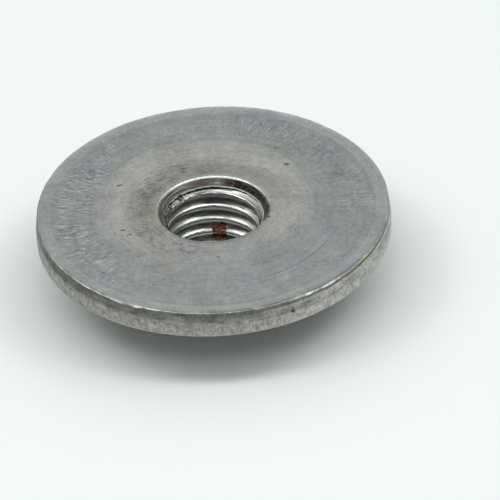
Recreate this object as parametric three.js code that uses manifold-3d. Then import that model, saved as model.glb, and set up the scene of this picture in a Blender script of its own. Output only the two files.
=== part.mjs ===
// A flanged wing nut in welded steel: a round flange blanked from plate, a turned hub and two
// thumb wings welded to its back, and one thread tapped through flange and hub together.
// Millimetres, +Z up. The nut stands on the end of its hub with its bearing face on top. The
// origin lies on the thread's axis, level with the end of the hub, and the wings lie along X.
import * as THREE from 'three';
import { mergeVertices } from 'three/addons/utils/BufferGeometryUtils.js';
import Module from 'manifold-3d';

const wasm = await Module();
wasm.setup();

// Driving dimensions.
const TOTAL_HEIGHT = 10;
const FLANGE = {
  thickness: 3.2,
  faceRadius: 19.8, // at the bearing face, where the fracture band of the blanked edge ends
  rimRadius: 20, // the burnished band, the widest part of the edge
  backRadius: 19.7, // inside the rolled-over lower edge
  fractureDepth: 1.55,
  rolloverDepth: 0.3,
};
const THREAD = {
  majorRadius: 6, // M12
  drillRadius: 5.1,
  pitch: 1.75,
  flankAngle: THREE.MathUtils.degToRad(30),
  // Height of the centre of one groove on the +Y side of the bore.
  groovePhase: 7.42,
};
const COUNTERSINK = { mouthRadius: 6.25, halfAngle: THREE.MathUtils.degToRad(30) };
const HUB = { radius: 9, chamfer: 0.5 };
const WING = {
  thickness: 3,
  tipRadius: 17.3,
  rootLength: 6.6, // along the back of the flange
  freeEdge: 0.5, // height of the lobe's lowest point
  saddle: 2.3, // height of the dip between hub and lobe
  lobeRadius: 3.1,
};
const WELD_LEG = 1.7;
const WELD_END = 0.3; // how far a wing's weld stops short of each end of the wing's root

// Worked out from them.
const HUB_HEIGHT = TOTAL_HEIGHT - FLANGE.thickness;
const GROOVE_ROOT_WIDTH = THREAD.pitch / 8;

// Allowances.
const CONTACT_GAP = 0.05; // between a round face and the piece welded against it
const CUT_MARGIN = 2; // how far a cutting tool runs past the part
const RIDGE_OVERLAP = 0.3; // how far the thread tool reaches into the drilled bore

// Facets of the round pieces.
const RIM_SEGMENTS = 120;
const BORE_SEGMENTS = 72;
const THREAD_STEPS_PER_TURN = 36;

function steel(color, roughness) {
  return new THREE.MeshStandardMaterial({ color, roughness, metalness: 1 });
}

const MATERIALS = {
  flange: steel(0x8b8d8c, 0.42),
  hub: steel(0x9a9b99, 0.35),
  wing: steel(0x84868a, 0.5),
  weld: steel(0x6d6a66, 0.55),
};

function toManifold(geometry) {
  const bare = geometry.clone();
  bare.deleteAttribute('normal');
  bare.deleteAttribute('uv');
  const merged = mergeVertices(bare, 1e-4);
  return new wasm.Manifold(new wasm.Mesh({
    numProp: 3,
    vertProperties: new Float32Array(merged.attributes.position.array),
    triVerts: new Uint32Array(merged.index.array),
  }));
}

function toGeometry(manifold) {
  const mesh = manifold.getMesh();
  const geometry = new THREE.BufferGeometry();
  geometry.setAttribute('position', new THREE.BufferAttribute(mesh.vertProperties, 3));
  geometry.setIndex(new THREE.BufferAttribute(mesh.triVerts, 1));
  geometry.computeVertexNormals();
  return geometry;
}

// A solid of revolution about Z. The points are [radius, height], upwards along the outside.
function turned(points, segments) {
  const profile = points.map(([radius, height]) => new THREE.Vector2(radius, height));
  return new THREE.LatheGeometry(profile, segments).rotateX(Math.PI / 2);
}

function slab(width, depth, height, x, y, z) {
  return new THREE.BoxGeometry(width, depth, height).translate(x, y, z);
}

// The thread tool: a straight bar bent into a helix, with a section that narrows outwards from
// the drilled bore to the root of the groove.
function threadRidge() {
  const innerRadius = THREAD.drillRadius - RIDGE_OVERLAP;
  const reach = THREAD.majorRadius - innerRadius;
  const innerWidth = GROOVE_ROOT_WIDTH + 2 * reach * Math.tan(THREAD.flankAngle);
  const turns = Math.ceil((TOTAL_HEIGHT + 2 * CUT_MARGIN) / THREAD.pitch);
  const turnsBelow = Math.ceil((THREAD.groovePhase + CUT_MARGIN) / THREAD.pitch);
  const bar = new THREE.BoxGeometry(1, 1, 1, turns * THREAD_STEPS_PER_TURN, 1, 1);
  const place = bar.attributes.position;
  for (let i = 0; i < place.count; i += 1) {
    const turn = (place.getX(i) + 0.5) * turns - turnsBelow;
    const outer = place.getY(i) > 0;
    const radius = outer ? THREAD.majorRadius : innerRadius;
    const width = outer ? GROOVE_ROOT_WIDTH : innerWidth;
    const angle = Math.PI / 2 + turn * 2 * Math.PI;
    const height = THREAD.groovePhase + turn * THREAD.pitch - place.getZ(i) * width;
    place.setXYZ(i, radius * Math.cos(angle), radius * Math.sin(angle), height);
  }
  return bar;
}

// Everything that drilling, countersinking and tapping take away.
function tappedHole() {
  const slope = Math.tan(COUNTERSINK.halfAngle);
  const depth = (COUNTERSINK.mouthRadius - THREAD.drillRadius) / slope;
  const flare = COUNTERSINK.mouthRadius + CUT_MARGIN * slope;
  const bore = turned([
    [0, -CUT_MARGIN],
    [flare, -CUT_MARGIN],
    [THREAD.drillRadius, depth],
    [THREAD.drillRadius, TOTAL_HEIGHT - depth],
    [flare, TOTAL_HEIGHT + CUT_MARGIN],
    [0, TOTAL_HEIGHT + CUT_MARGIN],
  ], BORE_SEGMENTS);
  return toManifold(bore).add(toManifold(threadRidge()));
}

function flangeBlank() {
  return turned([
    [0, HUB_HEIGHT],
    [FLANGE.backRadius, HUB_HEIGHT],
    [FLANGE.rimRadius, HUB_HEIGHT + FLANGE.rolloverDepth],
    [FLANGE.rimRadius, TOTAL_HEIGHT - FLANGE.fractureDepth],
    [FLANGE.faceRadius, TOTAL_HEIGHT],
    [0, TOTAL_HEIGHT],
  ], RIM_SEGMENTS);
}

function hubBlank() {
  return turned([
    [0, 0],
    [HUB.radius - HUB.chamfer, 0],
    [HUB.radius, HUB.chamfer],
    [HUB.radius, HUB_HEIGHT],
    [0, HUB_HEIGHT],
  ], BORE_SEGMENTS);
}

// The wing's outline in X and Z: straight along the flange and the hub, with a dip beside the
// hub and a round lobe at the tip.
function wingOutline() {
  const inner = HUB.radius + CONTACT_GAP;
  const lobeX = WING.tipRadius - WING.lobeRadius;
  const lobeZ = WING.freeEdge + WING.lobeRadius;
  const shape = new THREE.Shape();
  shape.moveTo(inner, HUB_HEIGHT);
  shape.lineTo(inner, WING.saddle);
  shape.bezierCurveTo(inner + 2, WING.saddle, lobeX - 2.2, WING.freeEdge, lobeX, WING.freeEdge);
  shape.absarc(lobeX, lobeZ, WING.lobeRadius, -Math.PI / 2, 0, false);
  shape.lineTo(WING.tipRadius, lobeZ + 0.4);
  shape.quadraticCurveTo(WING.tipRadius, HUB_HEIGHT - 1.2, inner + WING.rootLength, HUB_HEIGHT);
  return shape;
}

function wing() {
  const plate = new THREE.ExtrudeGeometry(wingOutline(), {
    depth: WING.thickness,
    bevelEnabled: false,
    curveSegments: 10,
  });
  return plate.rotateX(Math.PI / 2).translate(0, WING.thickness / 2, 0);
}

// Fillet welds around the hub, cut short on both sides of the wings.
function hubWeld(side) {
  const inner = HUB.radius + CONTACT_GAP;
  const ring = turned([
    [inner, HUB_HEIGHT],
    [inner, HUB_HEIGHT - WELD_LEG],
    [inner + WELD_LEG * 0.62, HUB_HEIGHT - WELD_LEG * 0.62],
    [inner + WELD_LEG, HUB_HEIGHT],
    [inner, HUB_HEIGHT],
  ], BORE_SEGMENTS);
  const clearOfWing = WING.thickness / 2 + WELD_LEG + CONTACT_GAP;
  const span = 4 * HUB.radius;
  const keep = slab(span, span, span, 0, side * (clearOfWing + span / 2), HUB_HEIGHT);
  return toGeometry(toManifold(ring).intersect(toManifold(keep)));
}

// A fillet weld along the foot of a wing, on the wing's front face, its middle at X = 0.
function wingWeld() {
  const length = WING.rootLength - 2 * WELD_END;
  const section = new THREE.Shape();
  section.moveTo(0, 0);
  section.lineTo(-WELD_LEG, 0);
  section.quadraticCurveTo(-WELD_LEG * 0.75, -WELD_LEG * 0.75, 0, -WELD_LEG);
  const bead = new THREE.ExtrudeGeometry(section, {
    depth: length,
    bevelEnabled: false,
    curveSegments: 4,
  });
  // The section's first axis turns to Y, its second to Z, and its depth to X.
  bead.applyMatrix4(new THREE.Matrix4().makeBasis(
    new THREE.Vector3(0, 1, 0),
    new THREE.Vector3(0, 0, 1),
    new THREE.Vector3(1, 0, 0),
  ));
  return bead.translate(-length / 2, -WING.thickness / 2, HUB_HEIGHT);
}

const nut = new THREE.Group();

function addPiece(name, geometry, material, turn = 0, x = 0) {
  const mesh = new THREE.Mesh(geometry, material);
  mesh.name = name;
  mesh.rotation.z = turn;
  mesh.position.x = x;
  nut.add(mesh);
}

const hole = tappedHole();
addPiece('flange_plate', toGeometry(toManifold(flangeBlank()).subtract(hole)), MATERIALS.flange);
addPiece('threaded_hub', toGeometry(toManifold(hubBlank()).subtract(hole)), MATERIALS.hub);
addPiece('hub_weld_front', hubWeld(-1), MATERIALS.weld);
addPiece('hub_weld_back', hubWeld(1), MATERIALS.weld);

const weldMiddle = HUB.radius + WING.rootLength / 2;
for (const [wingSide, sign, turn] of [['right', 1, 0], ['left', -1, Math.PI]]) {
  addPiece(`wing_${wingSide}`, wing(), MATERIALS.wing, turn);
  addPiece(`wing_${wingSide}_weld_front`, wingWeld(), MATERIALS.weld, 0, sign * weldMiddle);
  addPiece(`wing_${wingSide}_weld_back`, wingWeld(), MATERIALS.weld, Math.PI, sign * weldMiddle);
}

export default nut;
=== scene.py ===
"""A welded steel wing nut with a wide round flange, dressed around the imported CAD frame."""
import math
import random

import bmesh
import bpy
import numpy as np
from mathutils import Matrix, Vector


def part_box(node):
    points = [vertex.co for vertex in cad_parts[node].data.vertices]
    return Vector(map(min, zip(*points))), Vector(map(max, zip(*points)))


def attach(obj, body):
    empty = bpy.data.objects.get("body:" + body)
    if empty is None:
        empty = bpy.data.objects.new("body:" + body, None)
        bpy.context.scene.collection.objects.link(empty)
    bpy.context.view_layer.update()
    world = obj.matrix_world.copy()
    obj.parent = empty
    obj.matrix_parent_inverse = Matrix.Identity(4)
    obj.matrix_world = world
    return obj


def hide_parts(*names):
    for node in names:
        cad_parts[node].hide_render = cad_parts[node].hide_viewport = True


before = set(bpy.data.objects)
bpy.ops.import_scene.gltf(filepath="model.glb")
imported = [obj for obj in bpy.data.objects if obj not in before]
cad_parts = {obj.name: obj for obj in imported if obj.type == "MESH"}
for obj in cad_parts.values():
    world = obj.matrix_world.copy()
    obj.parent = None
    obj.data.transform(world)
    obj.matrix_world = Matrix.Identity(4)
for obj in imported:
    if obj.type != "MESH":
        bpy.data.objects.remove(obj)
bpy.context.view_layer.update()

# Lengths below are in millimetres, in the part's own frame, and every mesh is scaled once.
MM = 0.001
TAU = 2 * math.pi

plate_low, plate_high = (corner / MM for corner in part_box("flange_plate"))
hub_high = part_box("threaded_hub")[1] / MM
wing_low, wing_high = (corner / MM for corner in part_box("wing_right"))

TOP = plate_high.z
BACK = plate_low.z
RIM_RADIUS = plate_high.x
FACE_RADIUS = RIM_RADIUS - 0.2
HUB_RADIUS = hub_high.x

# The M12 thread, with a countersink at each end that turns a lip over the first groove.
PITCH = 1.75
MAJOR_RADIUS = 6.0
DRILL_RADIUS = 5.1
GROOVE_PHASE = 7.42  # height of the groove's middle on the far side
FLANK = math.tan(math.radians(30))
MOUTH_RADIUS = 6.24
LIP_DEPTH = 1.06
LIP_SLOPE = 0.66
SHELF_SLOPE = 1.1
SEAM_HEIGHT = 0.22
SEAM_REACH = 0.34
CREST_SEAM = 0.085  # depth of the seam along each crest
LIP_GAP = 96  # direction in degrees of the middle of the seam that stays open under the lip
LIP_TEARS = (131, 151)  # directions in degrees of two torn places under the lip
LIP_TEAR_RADIUS = 5.45
LIP_TEAR_HEIGHT = TOP - LIP_DEPTH - 0.25
LIP_TEAR_DEPTH = 0.34
LIP_TEAR_SIZE = 0.22
MOUTH_TEAR_END = 26  # degrees from +X towards the front, where the mouth's tear ends
MOUTH_TEAR_SPAN = 36
MOUTH_TEAR_DEPTH = 0.26

# The blanked edge: a torn fracture band on top, a burnished band below it, a rolled lower edge.
FRACTURE_DEPTH = 1.55
ROLLOVER = 0.3


# ---------------------------------------------------------------- shape functions

def smooth_min(a, b, width):
    """The lower of a and b, rounded where they meet."""
    share = np.clip(0.5 + 0.5 * (b - a) / width, 0, 1)
    return b + (a - b) * share - width * share * (1 - share)


def smooth_max(a, b, width):
    return -smooth_min(-a, -b, width)


def waves(seed, count, x, y, z=0.0):
    """Smooth seeded noise between about -1 and 1: a sum of waves in random directions."""
    rng = random.Random(seed)
    total = 0.0
    for _ in range(count):
        a, b, c = (rng.gauss(0, 1) for _ in range(3))
        total = total + np.sin(a * x + b * y + c * z + rng.uniform(0, TAU))
    return total / math.sqrt(count)


def thread_radius(angle, height):
    """Radius of the tapped bore. The crests carry the fine seam that a forming tap leaves."""
    centre = GROOVE_PHASE + PITCH * (angle - math.pi / 2) / TAU
    offset = np.abs((height - centre + PITCH / 2) % PITCH - PITCH / 2)
    flank = MAJOR_RADIUS - (offset - PITCH / 16) / FLANK
    radius = smooth_min(flank, MAJOR_RADIUS - 0.02, 0.08)
    radius = smooth_max(radius, DRILL_RADIUS, 0.05)
    seam = np.exp(-(((PITCH / 2 - offset) / 0.06) ** 2))
    return radius + CREST_SEAM * seam


def countersink(depth):
    """Radius of the cone cut at a mouth, and of the flatter shelf that follows its lip."""
    lip = MOUTH_RADIUS - LIP_DEPTH * LIP_SLOPE
    shelf = lip - 0.16 - (depth - LIP_DEPTH - SEAM_HEIGHT) * SHELF_SLOPE
    return np.where(depth < LIP_DEPTH, MOUTH_RADIUS - depth * LIP_SLOPE, shelf)


def bore_radius(angle, height):
    """Radius of the finished bore: the worn thread, its countersinks, and the torn mouth and lip."""
    x, y = np.cos(angle), np.sin(angle)
    wear = 0.006 * waves(3, 10, 9 * x, 9 * y, 2.2 * height)
    wear = wear + 0.003 * waves(4, 12, 40 * x, 40 * y, 9 * height)
    # The first crest is smeared downwards on the left.
    smear = 0.3 * np.exp(-(((angle - math.radians(150)) / 0.4) ** 2))
    radius = thread_radius(angle, height + smear * np.clip(height - TOP + 3.0, 0, 1)) + wear
    # The mouth is torn wider on the right, in upright steps that end sharply at the front.
    past_end = (np.degrees(angle) + 180) % 360 - 180 + MOUTH_TEAR_END
    torn = np.clip(past_end / 2, 0, 1) * np.exp(-((np.maximum(past_end, 0) / MOUTH_TEAR_SPAN) ** 2))
    torn = torn * (MOUTH_TEAR_DEPTH + 0.07 * waves(8, 10, 34 * x, 34 * y))
    # The lip hangs over what is left of the first groove, from the right round the far side.
    far_side = np.cos(angle - math.radians(LIP_GAP))
    open_seam = np.clip(0.5 + 1.6 * far_side + 0.9 * waves(6, 10, 16 * x, 16 * y), 0, 1)
    for depth in (TOP - height, height):
        lip = LIP_DEPTH + 0.03 * waves(5, 10, 12 * x, 12 * y)
        cut = countersink(depth) + 0.4 * wear
        cut = cut + torn * np.clip(1 - (TOP - height) / LIP_DEPTH, 0, 1) ** 0.5
        seam = np.where(depth < lip + SEAM_HEIGHT, cut + SEAM_REACH * open_seam, cut)
        radius = np.where(depth < lip, cut, np.maximum(radius, seam))
    for degrees in LIP_TEARS:
        apart = np.hypot(5.4 * (angle - math.radians(degrees)), height - LIP_TEAR_HEIGHT)
        radius = radius + LIP_TEAR_DEPTH * np.exp(-((apart / LIP_TEAR_SIZE) ** 2))
    return radius


# ---------------------------------------------------------------- mesh building

class Shell:
    """Collects points and faces in millimetres, joins points that meet, and makes the mesh."""

    JOIN_STEPS = 20000  # points in the same 1/20000 mm are one point

    def __init__(self):
        self.points = []
        self.faces = []
        self.slots = []
        self.count = 0

    def add(self, points, faces, slot):
        self.points.append(np.asarray(points, dtype=float).reshape(-1, 3))
        self.faces.extend(tuple(i + self.count for i in face) for face in faces)
        self.slots.extend([slot] * len(faces))
        self.count += len(self.points[-1])

    def make(self, name, materials, sharp_degrees=35):
        points = np.concatenate(self.points)
        keys = np.round(points * self.JOIN_STEPS).astype(np.int64)
        _, first, joined = np.unique(keys, axis=0, return_index=True, return_inverse=True)
        joined = joined.reshape(-1)
        faces, slots = [], []
        for face, slot in zip(self.faces, self.slots):
            corners = []
            for corner in (int(joined[i]) for i in face):
                if corner not in corners:
                    corners.append(corner)
            if len(corners) > 2:
                faces.append(corners)
                slots.append(slot)
        mesh = bpy.data.meshes.new(name)
        mesh.from_pydata((points[first] * MM).tolist(), [], faces)
        for material in materials:
            mesh.materials.append(material)
        mesh.polygons.foreach_set("material_index", slots)
        mesh.polygons.foreach_set("use_smooth", [True] * len(faces))
        form = bmesh.new()
        form.from_mesh(mesh)
        bmesh.ops.recalc_face_normals(form, faces=form.faces)
        form.to_mesh(mesh)
        form.free()
        mesh.set_sharp_from_angle(angle=math.radians(sharp_degrees))
        piece = bpy.data.objects.new(name, mesh)
        bpy.context.scene.collection.objects.link(piece)
        return piece


def grid_faces(rows, columns, closed):
    """Quads between rows of points, whose ends meet if closed."""
    faces = []
    for row in range(rows - 1):
        for column in range(columns if closed else columns - 1):
            after = (column + 1) % columns
            a, b = row * columns, (row + 1) * columns
            faces.append((a + column, a + after, b + after, b + column))
    return faces


def turned_rows(angles, rows):
    """Points of rings given as (radius, height), each a number or one value per angle."""
    points = []
    for radius, height in rows:
        ring = np.empty((len(angles), 3))
        ring[:, 0] = radius * np.cos(angles)
        ring[:, 1] = radius * np.sin(angles)
        ring[:, 2] = height
        points.append(ring)
    return np.concatenate(points)


def bore_grid(columns, rows_per_turn, low, high):
    """The bore's wall from low to high. Its rows follow the helix, and are trimmed level."""
    step = PITCH / rows_per_turn
    angles = np.arange(columns) * TAU / columns
    lead = PITCH * angles / TAU
    base = np.floor((low - lead) / step).astype(int) - 1
    rows = int(math.ceil((high - low) / step)) + 4
    index = base[:, None] + np.arange(rows)[None, :]
    height = np.clip(index * step + lead[:, None], low, high)
    turn = np.repeat(angles[:, None], rows, axis=1)
    radius = bore_radius(turn, height)
    points = np.stack([radius * np.cos(turn), radius * np.sin(turn), height], axis=2)
    faces = []
    for column in range(columns):
        after = (column + 1) % columns
        shift = base[column] - base[after] + (rows_per_turn if after == 0 else 0)
        for row in range(rows - 1):
            across = row + shift
            if 0 <= across < rows - 1:
                a, b = column * rows + row, after * rows + across
                faces.append((a, int(b), int(b + 1), a + 1))
    return points.reshape(-1, 3), faces


# ---------------------------------------------------------------- the pieces

PLATE_COLUMNS = 720
PLATE_BORE_ROWS = 32
HUB_COLUMNS = 480
HUB_BORE_ROWS = 20
HUB_CHAMFER = 0.5
EDGE_ROUND = 0.10


def burr_height(angle):
    """How far the torn lip stands above the face. It is chipped, and higher in places."""
    x, y = np.cos(angle), np.sin(angle)
    slow = waves(11, 6, 2.5 * x, 2.5 * y)
    fine = waves(12, 14, 60 * x, 60 * y)
    chips = np.clip(waves(13, 14, 28 * x, 28 * y) - 0.9, 0, 1)
    return np.clip(0.022 + 0.012 * slow + 0.012 * fine - 0.05 * chips, -0.02, 0.07)


def make_flange(materials):
    """The plate: its bore, face, torn and burnished edge, rolled lower edge and back."""
    shell = Shell()
    angles = np.arange(PLATE_COLUMNS) * TAU / PLATE_COLUMNS
    x, y = np.cos(angles), np.sin(angles)
    bore_top = TOP - EDGE_ROUND
    shell.add(*bore_grid(PLATE_COLUMNS, PLATE_BORE_ROWS, BACK, bore_top), 3)

    mouth = bore_radius(angles, np.full(PLATE_COLUMNS, bore_top))
    face = [(mouth, bore_top)]
    for part in (0.35, 0.7, 1.0):
        face.append((mouth + EDGE_ROUND * 1.6 * part, bore_top + EDGE_ROUND * math.sin(part * math.pi / 2)))
    for radius in np.linspace(mouth.mean() + 0.75, FACE_RADIUS - 0.5, 26):
        sag = 0.012 * waves(22, 6, radius * x / 5, radius * y / 5)
        face.append((radius, TOP - 0.012 + 0.5 * sag))
    burr = burr_height(angles)
    wander = 0.03 * waves(14, 14, 22 * x, 22 * y)
    face.append((FACE_RADIUS - 0.16 + wander, TOP - 0.004))
    face.append((FACE_RADIUS - 0.05 + wander, TOP + burr))
    shell.add(turned_rows(angles, face), grid_faces(len(face), PLATE_COLUMNS, True), 0)

    torn = [face[-1]]
    lip = FACE_RADIUS + 0.02 + 0.6 * wander
    torn.append((lip, TOP - 0.05 + 0.5 * burr))
    step = 0.07 * waves(31, 8, 7 * x, 7 * y) + 0.03 * waves(32, 14, 40 * x, 40 * y)
    for part in np.linspace(0.08, 1.0, 14):
        height = TOP - FRACTURE_DEPTH * part
        tear = 0.016 * waves(33, 16, 26 * x, 26 * y, 3.2 * height)
        tear = tear + 0.01 * waves(34, 16, 90 * x, 90 * y, 9 * height)
        slope = FACE_RADIUS + 0.03 + (RIM_RADIUS - FACE_RADIUS - 0.06) * part
        torn.append((slope + tear, height + step * part))
    shelf = torn[-1][1]
    drag = 0.006 * waves(35, 16, 120 * x, 120 * y)
    smooth = [torn[-1]]
    smooth.append((RIM_RADIUS - 0.01 + drag, shelf - 0.05))
    roll_top = BACK + ROLLOVER
    for part in np.linspace(0.2, 1.0, 6):
        smooth.append((RIM_RADIUS + drag - 0.02 * part, (shelf - 0.05) * (1 - part) + roll_top * part))
    for part in np.linspace(0.15, 1.0, 7):
        turn = part * math.pi / 2
        inward = ROLLOVER * (1 - math.cos(turn))
        smooth.append((RIM_RADIUS - 0.02 + drag * (1 - part) - inward, roll_top - ROLLOVER * math.sin(turn)))
    shell.add(turned_rows(angles, torn), grid_faces(len(torn), PLATE_COLUMNS, True), 1)
    shell.add(turned_rows(angles, smooth), grid_faces(len(smooth), PLATE_COLUMNS, True), 1)

    bore_end = bore_radius(angles, np.full(PLATE_COLUMNS, BACK))
    back = [smooth[-1]]
    for part in np.linspace(0.15, 0.85, 10):
        back.append((smooth[-1][0] * (1 - part) + bore_end * part, BACK))
    back.append((bore_end, BACK))
    shell.add(turned_rows(angles, back), grid_faces(len(back), PLATE_COLUMNS, True), 2)
    return shell.make("flange", materials)


def make_hub(materials):
    """The bush below the plate, with its own stretch of the same thread."""
    shell = Shell()
    angles = np.arange(HUB_COLUMNS) * TAU / HUB_COLUMNS
    shell.add(*bore_grid(HUB_COLUMNS, HUB_BORE_ROWS, 0.0, BACK), 1)
    mouth = bore_radius(angles, np.zeros(HUB_COLUMNS))
    outside = [(mouth, 0.0)]
    outside += [(radius, 0.0) for radius in np.linspace(mouth.mean() + 0.25, HUB_RADIUS - 0.6, 6)]
    outside += [(HUB_RADIUS - HUB_CHAMFER, 0.0), (HUB_RADIUS - HUB_CHAMFER + 0.05, 0.02)]
    outside += [(HUB_RADIUS - 0.03, HUB_CHAMFER - 0.05), (HUB_RADIUS, HUB_CHAMFER)]
    outside += [(HUB_RADIUS, height) for height in np.linspace(HUB_CHAMFER + 0.3, BACK, 8)]
    outside.append((bore_radius(angles, np.full(HUB_COLUMNS, BACK)), BACK))
    shell.add(turned_rows(angles, outside), grid_faces(len(outside), HUB_COLUMNS, True), 0)
    return shell.make("hub", materials)


# The wings and the welds.
CONTACT = 9.05  # distance from the axis where the wings and the hub's welds start
WING_SADDLE = 2.3
WING_ROOT = 6.6
LOBE_RADIUS = 3.1
WELD_LEG = 1.7
RIPPLE = 0.82  # from one weld ripple to the next
WELDS = (
    "hub_weld_front", "hub_weld_back",
    "wing_left_weld_front", "wing_left_weld_back",
    "wing_right_weld_front", "wing_right_weld_back",
)


def bezier(points, count):
    """Points along a Bezier curve, without its first point."""
    share = np.linspace(0, 1, count + 1)[1:, None]
    degree = len(points) - 1
    curve = 0.0
    for index, point in enumerate(points):
        weight = math.comb(degree, index) * share ** index * (1 - share) ** (degree - index)
        curve = curve + weight * np.array(point)
    return curve


def wing_outline():
    """The wing's edge in X and Z, anticlockwise from the top of its root."""
    lobe_x, lobe_z = wing_high.x - LOBE_RADIUS, wing_low.z + LOBE_RADIUS
    turn = np.radians(np.linspace(-90, 0, 29)[1:])
    arc = np.stack([lobe_x + LOBE_RADIUS * np.cos(turn), lobe_z + LOBE_RADIUS * np.sin(turn)], axis=1)
    root, foot = (CONTACT, BACK), (CONTACT + WING_ROOT, BACK)
    saddle, lobe = (CONTACT, WING_SADDLE), (lobe_x, wing_low.z)
    tip_low, tip_high = (wing_high.x, lobe_z), (wing_high.x, lobe_z + 0.4)
    return np.concatenate([
        bezier([root, saddle], 12),
        bezier([saddle, (CONTACT + 2, WING_SADDLE), (lobe_x - 2.2, wing_low.z), lobe], 34),
        arc,
        bezier([tip_low, tip_high], 3),
        bezier([tip_high, (wing_high.x, BACK - 1.2), foot], 20),
        bezier([foot, root], 18),
    ])


def shrunk(outline, inset):
    """The closed outline, moved inwards by inset."""
    before = outline - np.roll(outline, 1, axis=0)
    after = np.roll(outline, -1, axis=0) - outline
    normals = []
    for edge in (before, after):
        edge = edge / np.linalg.norm(edge, axis=1)[:, None]
        normals.append(np.stack([edge[:, 1], -edge[:, 0]], axis=1))
    middle = normals[0] + normals[1]
    middle = middle / (1 + np.sum(normals[0] * normals[1], axis=1))[:, None]
    return outline - middle * np.reshape(inset, (-1, 1))


def make_wing(node, materials, seed):
    """A blanked plate: one side of its edge is rolled, and the other has a fine burr."""
    low, high = (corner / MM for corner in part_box(node))
    side = math.copysign(1, low.x)
    half = high.y
    outline = wing_outline()
    x, z = outline[:, 0], outline[:, 1]
    wear = 0.012 * waves(seed, 12, 1.1 * x, 1.1 * z) + 0.008 * waves(seed + 1, 14, 7 * x, 7 * z)
    # The root meets the hub and the foot meets the flange, so their corners stay sharp.
    free = np.clip((x - CONTACT) / 0.6, 0, 1) * np.clip((BACK - z) / 0.5, 0, 1)
    # Each layer is a depth through the plate and an inset from the outline.
    layers = [(-half, 0.75), (-half, 0.36)]
    layers += [(-half + 0.03, 0.22), (-half + 0.10, 0.11), (-half + 0.22, 0.04)]
    for share in np.linspace(0.1, 0.9, 9):
        torn = 0.5 + 0.5 * math.tanh((share - 0.58) * 14)
        layers.append((-half + 2 * half * share, 0.015 + 0.04 * torn))
    layers += [(half - 0.14, 0.05), (half - 0.05, 0.07), (half, 0.13), (half - 0.01, 0.5)]
    rings = []
    count = len(outline)
    for depth, inset in layers:
        drag = 0.008 * waves(seed + 2, 14, 16 * x, 16 * z, 0.7 * depth)
        ring = shrunk(outline, free * (inset + 0.01 + np.clip(wear + drag, -0.01, 0.05)))
        reach = CONTACT - math.sqrt(HUB_RADIUS ** 2 - depth ** 2)
        coped = reach * np.clip(1 - (ring[:, 0] - CONTACT), 0, 1)
        across = np.full(count, side * depth)
        rings.append(np.stack([side * (ring[:, 0] - coped), across, ring[:, 1]], axis=1))
    shell = Shell()
    last = len(rings) - 1
    shell.add(np.concatenate(rings[1:last]), grid_faces(last - 1, count, True), 1)
    shell.add(np.concatenate(rings[:2]), grid_faces(2, count, True), 0)
    shell.add(np.concatenate(rings[-2:]), grid_faces(2, count, True), 0)
    for ring in (rings[0], rings[-1]):
        shell.add(ring, [tuple(range(count))], 0)
    return shell.make(node, materials)


def bead_section(along, length, seed):
    """A fillet bead's cross-section at each distance along it: two leg offsets per point."""
    turn = np.linspace(0, math.pi / 2, 22)[None, :]
    run = along[:, None]
    crescent = 0.42 * np.sin(2 * turn)
    wobble = 0.25 * waves(seed, 6, 0.7 * run, 0.0)
    scallop = np.abs(np.sin(math.pi * (run + crescent + wobble) / RIPPLE)) ** 0.7
    size = 0.885 + 0.07 * scallop * np.sqrt(np.clip(np.sin(2 * turn), 0, 1))
    size = size + 0.018 * waves(seed + 1, 10, 2.2 * run, 2 * turn)
    size = size + 0.008 * waves(seed + 2, 12, 9 * run, 6 * turn)
    near_end = np.clip(np.minimum(run, length - run) / 0.95, 0, 1)
    size = WELD_LEG * np.minimum(size, 0.985) * np.sqrt(1 - (1 - near_end) ** 2)
    across = np.concatenate([0 * run, size * np.cos(turn)], axis=1)
    down = np.concatenate([0 * run, size * np.sin(turn)], axis=1)
    return across, down


def make_bead(node, material, seed):
    """A rippled bead in the corner under the flange, round the hub or along the foot of a wing."""
    low, high = (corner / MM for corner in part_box(node))
    side = math.copysign(1, low.y)
    around = node.startswith("hub")
    start = math.asin(min(abs(low.y), abs(high.y)) / CONTACT)
    length = (math.pi - 2 * start) * CONTACT if around else high.x - low.x
    along = np.linspace(0, length, int(length / 0.07))
    across, down = bead_section(along, length, seed)
    if around:
        turn = (start + along / CONTACT)[:, None]
        x, y = (HUB_RADIUS + across) * np.cos(turn), (HUB_RADIUS + across) * np.sin(turn)
    else:
        x, y = low.x + along[:, None] + 0 * across, wing_high.y + across
    points = np.stack([x, side * y, BACK - down], axis=2)
    shell = Shell()
    shell.add(points, grid_faces(len(along), points.shape[1], True), 0)
    return shell.make(node, [material], 60)


# ---------------------------------------------------------------- materials

def feed(tree, socket, value):
    """Link a socket to another, or give it a constant."""
    if isinstance(value, bpy.types.NodeSocket):
        tree.links.new(value, socket)
    else:
        socket.default_value = value


def math_node(tree, operation, *values):
    node = tree.nodes.new("ShaderNodeMath")
    node.operation = operation
    for socket, value in zip(node.inputs, values):
        feed(tree, socket, value)
    return node.outputs[0]


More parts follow.
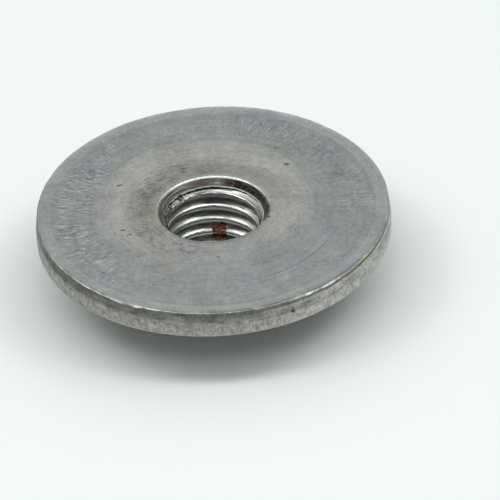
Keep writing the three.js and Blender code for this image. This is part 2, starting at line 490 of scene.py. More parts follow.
class Surface:
    """A metal material, and short names for the nodes that it is made of."""

    def __init__(self, name):
        self.material = bpy.data.materials.new(name)
        self.material.use_nodes = True
        self.tree = self.material.node_tree
        self.shader = self.tree.nodes["Principled BSDF"]
        self.shader.inputs["Metallic"].default_value = 1.0
        place = self.tree.nodes.new("ShaderNodeTexCoord").outputs["Object"]
        self.place = self.vector("SCALE", place, scale=1 / MM)
        split = self.tree.nodes.new("ShaderNodeSeparateXYZ")
        self.feed(split.inputs[0], self.place)
        self.x, self.y, self.z = split.outputs
        flat = self.join(self.x, self.y, 0.0)
        self.radius = self.vector("LENGTH", flat, value=True)
        self.outward = self.vector("NORMALIZE", flat)

    def feed(self, socket, value):
        feed(self.tree, socket, value)

    def join(self, x, y, z):
        node = self.tree.nodes.new("ShaderNodeCombineXYZ")
        for socket, value in zip(node.inputs, (x, y, z)):
            self.feed(socket, value)
        return node.outputs[0]

    def vector(self, operation, a, b=None, scale=None, value=False):
        node = self.tree.nodes.new("ShaderNodeVectorMath")
        node.operation = operation
        self.feed(node.inputs[0], a)
        if b is not None:
            self.feed(node.inputs[1], b)
        if scale is not None:
            self.feed(node.inputs["Scale"], scale)
        return node.outputs["Value"] if value else node.outputs["Vector"]

    def math(self, operation, a, b=0.0):
        return math_node(self.tree, operation, a, b)

    def times(self, a, b):
        return self.math("MULTIPLY", a, b)

    def plus(self, a, b):
        return self.math("ADD", a, b)

    def rise(self, value, low, high, start=0.0, end=1.0):
        """start below low, end above high, and a smooth change between them."""
        node = self.tree.nodes.new("ShaderNodeMapRange")
        node.interpolation_type = "SMOOTHSTEP"
        for socket, number in zip(node.inputs, (value, low, high, start, end)):
            self.feed(socket, number)
        return node.outputs[0]

    def fall(self, value, low, high, share=1.0):
        """share below low, 0 above high."""
        return self.rise(value, low, high, share, 0.0)

    def swing(self, noise, width):
        """A noise moved to lie about zero, and spread to the given width."""
        return self.times(self.plus(noise, -0.5), width)

    def band(self, value, low, high, soft):
        """1 between low and high, fading to 0 over soft on both sides."""
        over_low = self.rise(value, low - soft, low + soft)
        return self.times(over_low, self.fall(value, high - soft, high + soft))

    def noise(self, vector, scale, detail=3.0, roughness=0.55):
        node = self.tree.nodes.new("ShaderNodeTexNoise")
        self.feed(node.inputs["Vector"], vector)
        self.feed(node.inputs["Scale"], scale)
        self.feed(node.inputs["Detail"], detail)
        self.feed(node.inputs["Roughness"], roughness)
        return node.outputs[0]

    def radial_grain(self, fineness, length, shift=0.0):
        """Noise drawn out along the radius: fineness is streaks per radian, length is in millimetres."""
        along = self.plus(self.times(self.radius, 1 / length), shift)
        fan = self.vector("SCALE", self.outward, scale=fineness)
        return self.noise(self.vector("ADD", fan, self.join(0.0, 0.0, along)), 1.0, 4.0, 0.6)

    def ring_grain(self, width, fan=2.0, shift=0.0):
        """Noise drawn out around the axis in rings about width millimetres wide."""
        across = self.plus(self.times(self.radius, 1 / width), shift)
        around = self.vector("SCALE", self.outward, scale=fan)
        return self.noise(self.vector("ADD", around, self.join(0.0, 0.0, across)), 1.0, 4.0, 0.6)

    def along_edge(self, fineness, height, detail=4.0):
        """Noise on an upright wall: fineness is streaks per radian, height is streaks per millimetre."""
        fan = self.vector("SCALE", self.outward, scale=fineness)
        upright = self.join(0.0, 0.0, self.times(self.z, height))
        return self.noise(self.vector("ADD", fan, upright), 1.0, detail, 0.6)

    def edge_pit(self, degrees, depth, size):
        """A round spot on the plate's edge, depth below the face."""
        turn = math.radians(degrees)
        middle = (RIM_RADIUS * math.cos(turn), RIM_RADIUS * math.sin(turn), TOP - depth)
        apart = self.vector("DISTANCE", self.place, middle, value=True)
        return self.fall(apart, 0.4 * size, size)

    def off_groove(self):
        """Distance in Z from the middle of the nearest thread groove, in millimetres."""
        turn = self.plus(self.math("ARCTAN2", self.y, self.x), -math.pi / 2)
        above = self.math("SUBTRACT", self.z, self.times(turn, PITCH / TAU))
        phase = self.math("FLOORED_MODULO", self.plus(above, PITCH / 2 - GROOVE_PHASE), PITCH)
        return self.math("ABSOLUTE", self.plus(phase, -PITCH / 2))

    def toward(self, degrees, low, high):
        """A mask by direction round the axis: 1 towards the given angle, 0 where the cosine is under low."""
        turn = math.radians(degrees)
        facing = self.vector("DOT_PRODUCT", self.outward, (math.cos(turn), math.sin(turn), 0), value=True)
        return self.rise(facing, low, high)

    def scratch(self, radius, degrees, half_span, width):
        """A thin arc round the axis, its middle at the given direction."""
        line = self.band(self.radius, radius - width, radius + width, width)
        edge = math.cos(math.radians(half_span))
        return self.times(line, self.toward(degrees, edge - 0.02, edge + 0.02))

    def spots(self, marks, core):
        """Marks on the face, twice as wide as deep. Each is full within core of its size."""
        total = 0.0
        ragged = self.swing(self.noise(self.place, 2.6, 3.0, 0.7), 2.6)
        for degrees, radius, size in marks:
            turn = math.radians(degrees)
            middle = (radius * math.cos(turn), radius * math.sin(turn), TOP)
            apart = self.vector("MULTIPLY", self.vector("SUBTRACT", self.place, middle), (0.7, 1.4, 0.0))
            reach = self.plus(self.vector("LENGTH", apart, value=True), self.times(ragged, size))
            total = self.math("MAXIMUM", total, self.fall(reach, core * size, size))
        return total

    def mix(self, share, a, b):
        """Colours a and b, mixed by share."""
        node = self.tree.nodes.new("ShaderNodeMix")
        node.data_type = "RGBA"
        self.feed(node.inputs["Factor"], share)
        for socket, colour in ((node.inputs[6], a), (node.inputs[7], b)):
            self.feed(socket, (*colour, 1) if isinstance(colour, tuple) else colour)
        return node.outputs[2]

    def scaled(self, colour, factor):
        return self.vector("SCALE", colour, scale=factor)

    def varied(self, colour, noise, darkest, lightest):
        """The colour, scaled between two factors by a noise."""
        return self.scaled(colour, self.rise(noise, 0.3, 0.7, darkest, lightest))

    def bump(self, height, microns):
        node = self.tree.nodes.new("ShaderNodeBump")
        node.inputs["Strength"].default_value = 1.0
        node.inputs["Distance"].default_value = microns * 1e-6
        self.feed(node.inputs["Height"], height)
        return node.outputs[0]

    def finish(self, colour, roughness, normal):
        self.feed(self.shader.inputs["Base Color"], colour)
        self.feed(self.shader.inputs["Roughness"], roughness)
        self.feed(self.shader.inputs["Normal"], normal)
        return self.material


COOL_STEEL = (0.450, 0.461, 0.461)
WARM_STEEL = (0.588, 0.577, 0.540)
OLIVE_STEEL = (0.345, 0.338, 0.303)
VIOLET_STEEL = (0.455, 0.455, 0.492)
STRAW = (0.34, 0.26, 0.17)
# SOOT_AND_SHADE is soot for marks on the face and edge, and painted shade in the bore.
SOOT_AND_SHADE = (0.075, 0.072, 0.068)
RUST = (0.25, 0.115, 0.075)

# The heat of the weld on the back has left a circle on the face, this far from the axis.
HEAT_RADIUS = 0.613 * FACE_RADIUS
HEAT_CENTRE = (-0.9, 1.35, 0.0)
POLISH_RADIUS = 0.93 * FACE_RADIUS

# Directions on the face, in degrees from +X towards +Y. The viewer stands at -90.
FAR_SIDE = 85
NEAR_SIDE = -85
OLIVE_SIDE = 110
SMEARED_SIDE = 176
GRAIN_SIDES = (178, 38)

# Marks on the face: direction in degrees, distance from the axis and size, in millimetres.
NICKS = (
    (-88, 9.2, 0.16), (152, 11.75, 0.27), (197, 10.7, 0.28), (203, 10.3, 0.2), (42, 11.6, 0.28),
    (12, 10.9, 0.14), (224, 11.9, 0.16), (250, 8.6, 0.14), (56, 13.4, 0.18), (-19, 6.5, 0.3),
)
TINTS = ((181, 7.6, 1.5), (240, 11.7, 1.5), (224, 11.4, 0.8), (205, 8.6, 1.6))
SHADES = ((164, 12.8, 2.0), (222, 16.6, 2.2), (118, 9.5, 2.4), (20, 15.6, 2.0))

# Fine arcs on the face: radius, direction, half of the arc in degrees, and half of its width.
SCRATCHES = ((14.6, -49, 17, 0.07), (15.2, -60, 12, 0.05))
FAINT_SCRATCH = (9.4, 215, 14, 0.06)


def face_steel():
    """The face: grey steel with a pale circle of heat, smears, radial grain, a polished rim with a painted
    sheen, and a painted highlight round the mouth.
    """
    s = Surface("face_steel")
    cloud = s.noise(s.place, 0.16, 4.0)
    patch = s.noise(s.place, 0.55, 4.0, 0.6)
    mottle = s.noise(s.place, 1.5, 4.0, 0.7)
    grit = s.noise(s.place, 4.0, 3.0, 0.7)
    wander = s.swing(s.noise(s.place, 0.35, 2.0), 0.8)
    offset = s.vector("MULTIPLY", s.vector("SUBTRACT", s.place, HEAT_CENTRE), (1.0, 1.0, 0.0))
    reach = s.plus(s.vector("LENGTH", offset, value=True), wander)
    crisp = s.fall(reach, HEAT_RADIUS - 0.2, HEAT_RADIUS + 0.15)
    soft = s.fall(reach, HEAT_RADIUS - 2.2, HEAT_RADIUS + 1.6)
    far = s.toward(FAR_SIDE, 0.25, 0.7)
    inside = s.plus(s.times(far, crisp), s.times(s.math("SUBTRACT", 1.0, far), soft))
    near = s.toward(NEAR_SIDE, 0.3, 0.9)
    colour = s.mix(s.times(inside, s.plus(0.95, s.times(near, -0.55))), COOL_STEEL, WARM_STEEL)

    violet = s.rise(s.noise(s.vector("ADD", s.place, (30, 0, 0)), 0.2, 3.0), 0.46, 0.66)
    colour = s.mix(s.times(violet, 0.38), colour, VIOLET_STEEL)
    hot = s.times(s.band(s.radius, 6.4, 8.8, 1.2), s.toward(OLIVE_SIDE, -0.5, 0.5))
    colour = s.mix(s.times(hot, s.rise(patch, 0.35, 0.65, 0.3, 1.0)), colour, OLIVE_STEEL)
    tint = s.spots(TINTS, 0.0)
    colour = s.mix(s.times(s.times(tint, s.rise(mottle, 0.35, 0.6)), 0.75), colour, STRAW)

    swirl = s.ring_grain(0.17, 8.0, 7.0)
    dragged = s.noise(s.vector("MULTIPLY", s.place, (0.9, 5.0, 0.0)), 1.0, 4.0, 0.65)
    round_hole = s.times(s.band(s.radius, 6.6, 9.6, 1.4), s.toward(SMEARED_SIDE, -0.45, 0.5))
    marks = s.plus(s.times(swirl, 0.5), s.times(dragged, 0.5))
    smear = s.times(round_hole, s.rise(marks, 0.48, 0.57))
    smear = s.times(smear, s.rise(patch, 0.35, 0.6, 0.3, 1.0))
    colour = s.mix(s.times(smear, 0.7), colour, SOOT_AND_SHADE)

    streak = s.radial_grain(70.0, 2.2)
    fine = s.radial_grain(140.0, 1.1, 31.0)
    grain = s.plus(s.times(streak, 0.4), s.times(fine, 0.6))
    zone = s.band(s.radius, HEAT_RADIUS + 1.6, POLISH_RADIUS - 0.4, 1.0)
    clusters = s.rise(s.noise(s.vector("ADD", s.place, (12, 7, 0)), 0.45, 2.0), 0.36, 0.62, 0.25, 1.25)
    left, right = s.toward(GRAIN_SIDES[0], 0.45, 0.95), s.toward(GRAIN_SIDES[1], 0.5, 0.95)
    sides = s.plus(s.times(left, 1.3), s.times(right, 0.7))
    strength = s.times(s.times(zone, clusters), s.plus(s.times(sides, 0.85), 0.22))
    dashes = s.math("SUBTRACT", s.rise(fine, 0.57, 0.67), s.times(s.fall(fine, 0.34, 0.42), 0.35))
    lines = s.times(s.plus(s.swing(grain, 2.2), s.times(dashes, 0.5)), strength)
    broad = s.plus(s.swing(cloud, 0.40), s.swing(patch, 0.55))
    ring = s.swing(s.ring_grain(0.5, 1.2), 0.40)
    # A lighter band near the edge: partly polish, partly a painted sheen where the edge catches light, with
    # a thin darker ring line inside it.
    edge_band = s.times(s.rise(s.radius, POLISH_RADIUS - 0.2, POLISH_RADIUS + 0.15), 0.13)
    edge_line = s.times(s.band(s.radius, POLISH_RADIUS - 0.30, POLISH_RADIUS - 0.12, 0.1), -0.06)
    edge_band = s.plus(edge_band, edge_line)
    tone = s.plus(s.plus(1.0, lines), s.plus(broad, s.plus(ring, edge_band)))
    rough_tone = s.plus(s.swing(mottle, 0.75), s.swing(grit, 0.7))
    tone = s.plus(tone, rough_tone)
    arcs = s.plus(s.scratch(*SCRATCHES[0]), s.scratch(*SCRATCHES[1]))
    arcs = s.plus(arcs, s.times(s.scratch(*FAINT_SCRATCH), 0.8))
    tone = s.math("SUBTRACT", tone, s.times(s.times(arcs, s.rise(mottle, 0.35, 0.6)), 0.45))
    tone = s.plus(tone, s.times(s.spots(SHADES, 0.0), -0.17))
    speck = s.math("MAXIMUM", s.rise(s.noise(s.place, 1.5, 1.0), 0.745, 0.79), s.spots(NICKS, 0.5))
    colour = s.mix(s.times(speck, 0.8), s.scaled(colour, tone), SOOT_AND_SHADE)
    # Painted highlight: a bright ring painted on the face at the mouth's edge.
    mouth_highlight = s.fall(s.radius, MOUTH_RADIUS + 0.02, MOUTH_RADIUS + 0.16, 0.9)
    colour = s.mix(s.times(mouth_highlight, s.rise(mottle, 0.35, 0.6, 0.2, 1.0)), colour, (0.82, 0.82, 0.79))

    roughness = s.plus(0.38, s.swing(patch, 0.22))
    roughness = s.plus(roughness, s.times(lines, 0.12))
    relief = s.plus(s.times(grain, strength), s.times(mottle, 0.3))
    relief = s.plus(relief, s.times(speck, -0.9))
    return s.finish(colour, roughness, s.bump(relief, 18))


# Directions round the axis on the edge and in the bore, in degrees from +X towards +Y.
DEEP_TEAR = -22
SHADED_EDGE_SIDE = 188
CRACKS = 203
LIP_GLINTS = (-56, -121)
LIP_SHEEN_SIDE = -130
EDGE_PIT = -65.5
CONE_STAIN = 35
CONE_TINT = 92
CONE_CHATTER = -6
CONE_BLOTS = 48
DIM_HIGHLIGHT_SIDE = 20
RUST_PATCH = 84


def rim_steel():
    """The plate's edge: a torn band over a burnished one, with drag lines and a broken lip. Painted shade
    under the lip and on the left side, and painted highlights on the lip, a ledge and the rolled lower edge.
    """
    s = Surface("rim_steel")
    drag = s.along_edge(120.0, 0.6)
    tear = s.along_edge(10.0, 1.3, 4.0)
    grit = s.noise(s.place, 3.0, 4.0, 0.75)
    lean = s.toward(DEEP_TEAR, 0.45, 0.95)
    depth = s.plus(0.80 * FRACTURE_DEPTH, s.times(lean, 0.42))
    shelf = s.plus(s.math("SUBTRACT", TOP, depth), s.swing(tear, 0.7))
    torn = s.rise(s.plus(s.math("SUBTRACT", s.z, shelf), s.swing(grit, 0.9)), -0.26, 0.26)

    dark = s.varied(s.mix(lean, (0.210, 0.201, 0.184), (0.42, 0.405, 0.38)), tear, 0.66, 1.36)
    # Painted shade: the torn band is darkened on the left, where it is seen edge-on.
    dark = s.scaled(dark, s.plus(1.0, s.times(s.toward(SHADED_EDGE_SIDE, 0.5, 0.95), -0.22)))
    # Painted shade: a dark band just under the lip.
    shade_under_lip = s.times(s.band(s.z, TOP - 0.50, TOP - 0.16, 0.08), s.plus(0.35, s.times(lean, 0.65)))
    dark = s.mix(s.times(shade_under_lip, 0.8), dark, (0.10, 0.098, 0.09))
    # Painted highlight: a light line lower on the torn band, where a ledge would catch the light.
    ledge_highlight = s.times(s.band(s.z, TOP - 0.86, TOP - 0.60, 0.10), lean)
    dark = s.mix(s.times(ledge_highlight, 0.5), dark, (0.55, 0.54, 0.52))

    bright = s.mix(lean, (0.335, 0.318, 0.298), (0.45, 0.435, 0.415))
    blotch = s.along_edge(22.0, 1.6)
    streaks = s.plus(s.times(drag, 0.45), s.times(blotch, 0.55))
    bright = s.scaled(bright, s.rise(streaks, 0.34, 0.66, 0.70, 1.30))
    colour = s.varied(s.mix(torn, bright, dark), grit, 0.72, 1.28)
    cracks = s.times(s.rise(s.along_edge(26.0, 0.5, 2.0), 0.60, 0.68), s.toward(CRACKS, 0.80, 0.97))
    colour = s.mix(s.times(cracks, 0.6), colour, (0.09, 0.087, 0.08))

    # Painted highlight: a bright line along the lip, with brighter glints at its chips.
    chips = s.times(s.rise(s.along_edge(5.0, 0.1), 0.44, 0.54), s.rise(s.along_edge(40.0, 0.1), 0.42, 0.56))
    glint_spots = s.plus(s.toward(LIP_GLINTS[0], 0.975, 0.995), s.toward(LIP_GLINTS[1], 0.994, 0.999))
    low = s.plus(TOP - 0.12, s.times(glint_spots, -0.16))
    lip_sheen = s.times(s.toward(LIP_SHEEN_SIDE, 0.85, 0.97), s.rise(tear, 0.4, 0.6, 0.0, 0.4))
    broken_glints = s.times(chips, s.plus(0.3, s.times(glint_spots, 1.5)))
    lip = s.times(s.rise(s.z, low, s.plus(low, 0.08)), s.plus(s.plus(0.2, lip_sheen), broken_glints))
    colour = s.mix(s.times(lip, 0.9), colour, (0.88, 0.88, 0.87))
    # Painted highlight: lighter along the rolled lower edge.
    rolled_highlight = s.fall(s.z, BACK + 0.15, BACK + 0.35)
    colour = s.mix(s.times(rolled_highlight, 0.6), colour, (0.52, 0.51, 0.49))
    colour = s.mix(s.times(s.edge_pit(EDGE_PIT, 1.45, 0.36), 0.85), colour, SOOT_AND_SHADE)

    roughness = s.plus(0.44, s.times(torn, 0.10))
    relief = s.plus(s.times(torn, s.plus(tear, s.times(grit, 0.6))), s.times(drag, 0.35))
    return s.finish(colour, roughness, s.bump(relief, 26))


def bore_steel():
    """The tapped hole: bright crests, dull grooves, the stained countersink and a patch of rust. Painted
    shade in the crest seams, on the first turn, under the lip and deeper down, and painted highlights on the
    mouth's edge and the lip's edge.
    """
    s = Surface("bore_steel")
    grain = s.along_edge(2.5, 9.0)
    fine = s.along_edge(5.0, 18.0)
    patch = s.noise(s.place, 0.9, 3.0)
    off_groove = s.plus(s.off_groove(), s.swing(s.along_edge(7.0, 1.0), 0.12))
    crest = s.fall(s.radius, DRILL_RADIUS + 0.06, DRILL_RADIUS + 0.15)
    root = s.fall(off_groove, 0.10, 0.17)
    groove = s.varied(s.mix(root, (0.40, 0.395, 0.37), (0.74, 0.73, 0.71)), grain, 0.55, 1.45)
    polished = s.varied((0.80, 0.80, 0.79), fine, 0.86, 1.08)
    # Painted shade: a dark line along the seam in each crest.
    seam = s.rise(off_groove, PITCH / 2 - 0.09, PITCH / 2 - 0.05)
    seam = s.times(seam, s.fall(s.z, TOP - 2.2, TOP - 1.9))
    polished = s.mix(s.times(seam, 0.8), polished, (0.16, 0.155, 0.145))
    colour = s.mix(crest, groove, polished)
    # Painted shade: the first turn of the thread is darkened.
    first = s.times(s.rise(off_groove, 0.40, 0.60), s.rise(s.z, TOP - 2.5, TOP - 2.1))
    first_turn_shade = s.times(first, s.rise(fine, 0.38, 0.62, -0.72, -0.22))
    colour = s.scaled(colour, s.plus(1.0, first_turn_shade))

    lip_z = TOP - LIP_DEPTH
    # Painted shade: the open seam under the lip is dark.
    gap = s.band(s.z, lip_z - SEAM_HEIGHT, lip_z - 0.04, 0.03)
    colour = s.mix(s.times(gap, s.toward(LIP_GAP, -0.3, 0.3)), colour, SOOT_AND_SHADE)

    cone = s.rise(s.z, lip_z - 0.03, lip_z + 0.01)
    lines = s.rise(s.along_edge(2.0, 9.0), 0.38, 0.62, 0.30, 1.70)
    turned = s.scaled((0.335, 0.326, 0.305), lines)
    stain = s.times(s.toward(CONE_STAIN, 0.55, 0.95), s.rise(patch, 0.32, 0.52, 0.3, 1.0))
    turned = s.mix(s.times(stain, 0.85), turned, (0.065, 0.048, 0.040))
    tint = s.times(s.toward(CONE_TINT, 0.86, 0.99), s.rise(patch, 0.3, 0.55))
    turned = s.mix(s.times(tint, 0.55), turned, (0.16, 0.09, 0.065))
    chatter = s.times(s.toward(CONE_CHATTER, 0.86, 0.97), s.rise(s.along_edge(24.0, 0.8), 0.42, 0.56))
    turned = s.mix(s.times(chatter, 0.85), turned, (0.055, 0.045, 0.04))
    blots = s.times(s.toward(CONE_BLOTS, 0.84, 0.97), s.rise(s.noise(s.place, 1.9, 3.0), 0.47, 0.56))
    turned = s.mix(s.times(blots, 0.85), turned, (0.03, 0.025, 0.022))
    # Painted highlight: a bright band at the top of the cone, the mouth's edge, weaker towards one side.
    highlight_strength = s.plus(1.0, s.times(s.toward(DIM_HIGHLIGHT_SIDE, 0.5, 0.9), -0.6))
    turned = s.mix(s.times(s.rise(s.z, TOP - 0.24, TOP - 0.12), highlight_strength), turned, (0.84, 0.84, 0.82))
    # Painted highlight: a bright line at the lip's lower edge.
    turned = s.mix(s.fall(s.z, lip_z + 0.12, lip_z + 0.20, 0.85), turned, (0.86, 0.85, 0.82))
    colour = s.mix(cone, colour, turned)
    for degrees in LIP_TEARS:
        turn = math.radians(degrees)
        middle = (LIP_TEAR_RADIUS * math.cos(turn), LIP_TEAR_RADIUS * math.sin(turn), LIP_TEAR_HEIGHT)
        apart = s.vector("DISTANCE", s.place, middle, value=True)
        colour = s.mix(s.fall(apart, 0.20, 0.42, 0.95), colour, SOOT_AND_SHADE)

    wander = s.times(s.noise(s.place, 1.6, 4.0), 1.4)
    rust_z = s.band(s.plus(s.z, wander), 2.45, 4.4, 0.2)
    ragged = s.swing(s.noise(s.place, 1.7, 4.0, 0.7), 2.0)
    rust_side = s.plus(s.toward(RUST_PATCH, 0.978, 1.0), ragged)
    rust = s.times(s.rise(rust_side, 0.42, 0.56), rust_z)
    rust_tone = s.scaled(RUST, s.rise(s.noise(s.place, 4.0, 3.0), 0.35, 0.65, 0.3, 2.2))
    colour = s.mix(s.times(rust, 0.95), colour, rust_tone)
    # Painted shade: darker deeper in the bore.
    colour = s.scaled(colour, s.rise(s.z, 1.6, 3.1, 0.68, 1.0))

    stained = s.times(cone, s.math("MAXIMUM", s.math("MAXIMUM", stain, blots), chatter))
    roughness = s.plus(s.plus(0.30, s.times(cone, 0.17)), s.plus(s.times(rust, 0.45), s.times(stained, 0.3)))
    return s.finish(colour, roughness, s.bump(s.plus(s.times(fine, 0.8), s.times(rust, 2.0)), 7))


def back_steel():
    """The back of the plate, with heat colours round the hub and the wings."""
    s = Surface("back_steel")
    patch = s.noise(s.place, 0.5, 4.0, 0.6)
    grit = s.noise(s.place, 3.0, 4.0, 0.7)
    grain = s.ring_grain(0.3, 1.5)
    far_along = s.math("MAXIMUM", s.plus(s.math("ABSOLUTE", s.x), -(CONTACT + WING_ROOT)), 0.0)
    far_across = s.plus(s.math("ABSOLUTE", s.y), -wing_high.y)
    from_wing = s.vector("LENGTH", s.join(far_along, far_across, 0.0), value=True)
    from_hub = s.plus(s.radius, -HUB_RADIUS)
    gap = s.plus(s.math("MINIMUM", from_wing, from_hub), s.swing(patch, 1.6))
    straw = s.band(gap, 1.6, 3.2, 0.7)
    blue = s.band(gap, 3.2, 4.8, 0.7)
    colour = s.mix(s.times(straw, 0.6), COOL_STEEL, (0.44, 0.31, 0.16))
    colour = s.mix(s.times(blue, 0.5), colour, (0.20, 0.25, 0.40))
    colour = s.varied(colour, patch, 0.75, 1.15)
    colour = s.varied(colour, grit, 0.8, 1.2)
    return s.finish(colour, s.plus(0.34, s.times(patch, 0.2)), s.bump(s.plus(grain, patch), 10))


def turned_steel():
    """The outside of the hub: feed marks from the lathe, and heat colour near the weld."""
    s = Surface("turned_steel")
    feed_marks = s.times(s.plus(s.z, s.radius), 9.0)
    around = s.vector("SCALE", s.outward, scale=0.4)
    rings = s.noise(s.vector("ADD", around, s.join(0.0, 0.0, feed_marks)), 1.0, 2.0)
    patch = s.noise(s.place, 0.5, 4.0, 0.6)
    grit = s.noise(s.place, 3.0, 4.0, 0.7)
    warm = s.rise(s.z, BACK - 3.6, BACK - 1.8)
    colour = s.mix(s.times(warm, 0.55), (0.55, 0.55, 0.54), (0.42, 0.31, 0.18))
    colour = s.varied(colour, patch, 0.8, 1.1)
    colour = s.varied(colour, rings, 0.85, 1.1)
    colour = s.varied(colour, grit, 0.85, 1.15)
    return s.finish(colour, 0.3, s.bump(rings, 22))


def mill_steel():
    """The flat sides of the wings: rolled sheet, with heat tint near the welds."""
    s = Surface("mill_steel")
    along = s.vector("MULTIPLY", s.place, (0.25, 1.0, 5.0))
    grain = s.noise(along, 1.0, 4.0, 0.6)
    patch = s.noise(s.place, 0.4, 4.0, 0.6)
    grit = s.noise(s.place, 3.2, 4.0, 0.7)
    fall = s.plus(s.math("SUBTRACT", BACK - WELD_LEG, s.z), s.swing(patch, 1.4))
    straw = s.band(fall, 0.0, 0.9, 0.35)
    blue = s.band(fall, 0.9, 1.7, 0.4)
    colour = s.mix(s.times(straw, 0.65), (0.46, 0.465, 0.46), (0.42, 0.29, 0.15))
    colour = s.mix(s.times(blue, 0.5), colour, (0.20, 0.25, 0.38))
    colour = s.varied(colour, patch, 0.75, 1.15)
    colour = s.varied(colour, grain, 0.82, 1.15)
    colour = s.varied(colour, grit, 0.85, 1.15)
    return s.finish(colour, s.plus(0.36, s.times(patch, 0.15)), s.bump(s.plus(grain, grit), 14))


def sheared_steel():
    """The blanked edge of the wings: a bright cut band and a dull torn one, with drag lines."""
    s = Surface("sheared_steel")
    drag = s.noise(s.vector("MULTIPLY", s.place, (7.0, 0.5, 7.0)), 1.0, 4.0, 0.6)
    grit = s.noise(s.place, 3.2, 4.0, 0.75)
    across = s.times(s.y, s.rise(s.x, -0.01, 0.01, -1.0, 1.0))
    torn = s.rise(s.plus(across, s.swing(drag, 0.8)), 0.05, 0.35)
    colour = s.mix(torn, (0.46, 0.455, 0.44), (0.24, 0.235, 0.22))
    colour = s.varied(colour, drag, 0.8, 1.2)
    colour = s.varied(colour, grit, 0.8, 1.2)
    roughness = s.plus(0.36, s.times(torn, 0.16))
    relief = s.plus(drag, s.times(torn, grit))
    return s.finish(colour, roughness, s.bump(relief, 26))


def weld_steel():
    """Weld metal: bright ripples under patches of brown and blue."""
    s = Surface("weld_steel")
    patch = s.noise(s.place, 0.7, 4.0, 0.6)
    grit = s.noise(s.place, 4.0, 4.0, 0.7)
    tint = s.mix(s.rise(patch, 0.4, 0.6), (0.33, 0.26, 0.17), (0.22, 0.24, 0.30))
    colour = s.mix(s.rise(grit, 0.42, 0.62), tint, (0.42, 0.415, 0.40))
    colour = s.varied(colour, patch, 0.8, 1.15)
    return s.finish(colour, s.plus(0.30, s.times(grit, 0.25)), s.bump(s.plus(grit, patch), 20))


def wear_piece(piece, node):
    """Put a finished piece in a node's place."""
    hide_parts(node)
    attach(piece, "root")


face, rim, back, bore, turned = face_steel(), rim_steel(), back_steel(), bore_steel(), turned_steel()
mill, sheared, bead = mill_steel(), sheared_steel(), weld_steel()
wear_piece(make_flange([face, rim, back, bore]), "flange_plate")
wear_piece(make_hub([turned, bore]), "threaded_hub")
for seed, node in enumerate(("wing_left", "wing_right")):
    wear_piece(make_wing(node, [mill, sheared], 40 + 10 * seed), node)
for seed, node in enumerate(WELDS):
    wear_piece(make_bead(node, bead, 70 + 10 * seed), node)


# ---------------------------------------------------------------- camera, floor and light

ELEVATION = math.radians(36.12)
ROLL = math.radians(3.26)
DISTANCE = 1190.0
SENSOR = 36.0
FIELD_WIDTH = 56.2117  # what the view takes in from side to side, level with the face
AIM_RIGHT, AIM_DOWN = 4.1822, 4.6543  # where the view is centred, from the middle of the face

# From here on the sizes and places are in metres.
FLOOR_REACH = 3.0
FLOOR_COLOUR = (0.853, 0.865, 0.858, 1)
BACKDROP_COLOUR = (0.80, 0.86, 0.87, 1)
LAMP_COLOUR = (0.945, 1.0, 0.99)
LAMPS = (
    ("overhead", (0, -0.15, 1.5), (1.8, 0.3), 9.0),
    ("front", (0, -1.0, 1.35), (0.8, 0.4), 3.0),
    ("side_left", (-0.95, -0.14, 1.3), (0.7, 0.4), 3.5),
    ("side_right", (0.95, -0.14, 1.3), (0.7, 0.4), 3.5),
)

# The room's light at the sine of each elevation, and how it changes to the sides and to the front.
ROOM_LIGHT = ((0.0, 0.02), (0.3, 0.06), (0.50, 0.40), (0.66, 0.86), (0.85, 0.77), (0.96, 0.2))
ROOM_SIDES = 0.6
ROOM_FRONT = 0.85


def make_camera():
    right = Vector((1, 0, 0))
    up = Vector((0, math.sin(ELEVATION), math.cos(ELEVATION)))
    back = Vector((0, -math.cos(ELEVATION), math.sin(ELEVATION)))
    across = right * math.cos(ROLL) - up * math.sin(ROLL)
    upward = right * math.sin(ROLL) + up * math.cos(ROLL)
    place = Vector((0, 0, TOP)) + back * DISTANCE + across * AIM_RIGHT - upward * AIM_DOWN
    data = bpy.data.cameras.new("camera")
    data.sensor_width = SENSOR
    data.lens = SENSOR * DISTANCE / FIELD_WIDTH
    data.clip_start = 0.01
    data.clip_end = 20
    camera = bpy.data.objects.new("camera", data)
    facing = Matrix((across, upward, back)).transposed().to_4x4()
    camera.matrix_world = Matrix.Translation(place * MM) @ facing
    bpy.context.scene.collection.objects.link(camera)
    bpy.context.scene.camera = camera


def make_floor():
    reach = FLOOR_REACH
    corners = [(-reach, -reach, 0), (reach, -reach, 0), (reach, reach, 0), (-reach, reach, 0)]
    mesh = bpy.data.meshes.new("floor")
    mesh.from_pydata(corners, [], [(0, 1, 2, 3)])
    material = bpy.data.materials.new("floor")
    material.use_nodes = True
    shader = material.node_tree.nodes["Principled BSDF"]
    shader.inputs["Base Color"].default_value = FLOOR_COLOUR
    shader.inputs["Roughness"].default_value = 0.6
    shader.inputs["Specular IOR Level"].default_value = 0.2
    mesh.materials.append(material)
    floor = bpy.data.objects.new("floor", mesh)
    bpy.context.scene.collection.objects.link(floor)


def make_lamp(name, place, size, power):
    """A soft box that faces the part."""
    data = bpy.data.lights.new(name, "AREA")
    data.shape = "RECTANGLE"
    data.size, data.size_y = size
    data.energy = power
    data.color = LAMP_COLOUR
    lamp = bpy.data.objects.new(name, data)
    lamp.location = place
    lamp.rotation_euler = (-Vector(place)).to_track_quat("-Z", "Y").to_euler()
    bpy.context.scene.collection.objects.link(lamp)


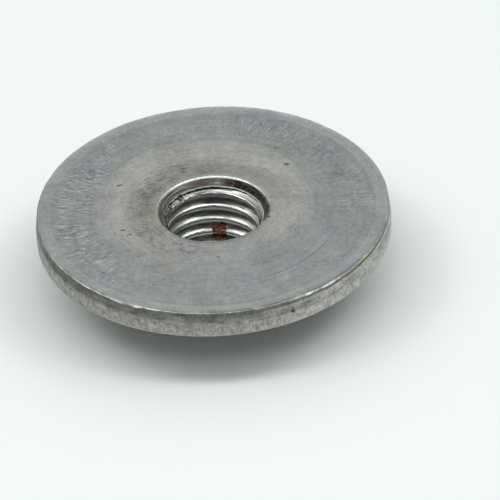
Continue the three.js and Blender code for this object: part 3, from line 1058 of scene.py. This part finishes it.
def make_room():
    """A room that is brightest at mid height, brighter at the sides and darker in front.

    The camera itself sees a plain pale backdrop.
    """
    world = bpy.data.worlds.new("studio")
    world.use_nodes = True
    tree = world.node_tree
    place = tree.nodes.new("ShaderNodeTexCoord")
    split = tree.nodes.new("ShaderNodeSeparateXYZ")
    ramp = tree.nodes.new("ShaderNodeValToRGB")
    tree.links.new(place.outputs["Generated"], split.inputs[0])
    tree.links.new(split.outputs["Z"], ramp.inputs[0])
    while len(ramp.color_ramp.elements) < len(ROOM_LIGHT):
        ramp.color_ramp.elements.new(1.0)
    for stop, (height, light) in zip(ramp.color_ramp.elements, ROOM_LIGHT):
        warmth = max(0.0, 0.6 - height)
        stop.position = height
        stop.color = (light * (1 + 0.10 * warmth - 0.05 * height), light, light * (1 - 0.25 * warmth), 1)

    sideways = math_node(tree, "MULTIPLY", split.outputs["X"], split.outputs["X"])
    ahead = math_node(tree, "MINIMUM", split.outputs["Y"], 0.0)
    level = math_node(tree, "MULTIPLY_ADD", sideways, ROOM_SIDES, 1.0)
    level = math_node(tree, "MULTIPLY_ADD", ahead, ROOM_FRONT, level)
    room = tree.nodes.new("ShaderNodeVectorMath")
    room.operation = "SCALE"
    tree.links.new(ramp.outputs["Color"], room.inputs[0])
    tree.links.new(level, room.inputs["Scale"])

    lit = tree.nodes["Background"]
    tree.links.new(room.outputs[0], lit.inputs["Color"])
    seen = tree.nodes.new("ShaderNodeBackground")
    seen.inputs["Color"].default_value = BACKDROP_COLOUR
    path = tree.nodes.new("ShaderNodeLightPath")
    choice = tree.nodes.new("ShaderNodeMixShader")
    sources = (path.outputs["Is Camera Ray"], lit.outputs[0], seen.outputs[0])
    for socket, source in zip(choice.inputs, sources):
        tree.links.new(source, socket)
    tree.links.new(choice.outputs[0], tree.nodes["World Output"].inputs[0])
    bpy.context.scene.world = world


make_camera()
make_floor()
make_room()
for lamp in LAMPS:
    make_lamp(*lamp)
bpy.context.scene.view_settings.view_transform = "Standard"
